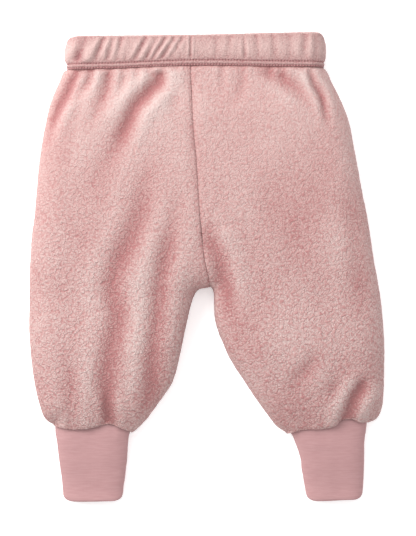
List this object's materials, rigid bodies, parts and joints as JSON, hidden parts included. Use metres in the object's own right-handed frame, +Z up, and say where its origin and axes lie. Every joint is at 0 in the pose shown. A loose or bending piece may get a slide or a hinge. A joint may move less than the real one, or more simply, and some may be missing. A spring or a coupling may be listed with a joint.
{
  "type": "baby trousers",
  "caption": "Baby's fleece pull-on trousers lying flat, with an elasticated waist, balloon legs and long knitted cuffs.",
  "frame": {"origin": "middle of the trousers' outline seen from above, on the surface they lie on", "axes": "+X across the trousers towards the right as seen from above, +Y from the cuffs up to the waist, +Z up out of the surface"},
  "size_m": [0.2804, 0.371, 0.0359],
  "materials": {
    "pink_fleece": "matte",
    "pink_knit": "matte",
    "pink_thread": "matte",
    "white_elastic": "matte",
    "white_label": "satin"
  },
  "bodies": {
    "seat": {"waistband": "pink_fleece", "waist_elastic": "white_elastic", "waist_stitch_lower": "pink_thread", "waist_stitch_upper": "pink_thread", "front_rise_seam": "pink_thread", "back_rise_seam": "pink_thread", "crotch_seam": "pink_thread", "size_label": "white_label", "left_panel_seat": "pink_fleece", "right_panel_seat": "pink_fleece"},
    "left_leg": {"left_panel_leg": "pink_fleece", "left_inseam": "pink_thread", "left_cuff_seam": "pink_thread", "left_cuff": "pink_knit", "left_cuff_join_seam": "pink_thread"},
    "right_leg": {"right_panel_leg": "pink_fleece", "right_inseam": "pink_thread", "right_cuff_seam": "pink_thread", "right_cuff": "pink_knit", "right_cuff_join_seam": "pink_thread"}
  },
  "joints": [
    {"name": "left_leg_fold", "type": "hinge", "parent": "seat", "child": "left_leg", "pos_m": [-0.075, -0.0415, 0.0365], "axis": [-1, 0, 0], "range_deg": [0, 170]},
    {"name": "right_leg_fold", "type": "hinge", "parent": "seat", "child": "right_leg", "pos_m": [0.075, -0.0415, 0.0365], "axis": [-1, 0, 0], "range_deg": [0, 170]}
  ]
}
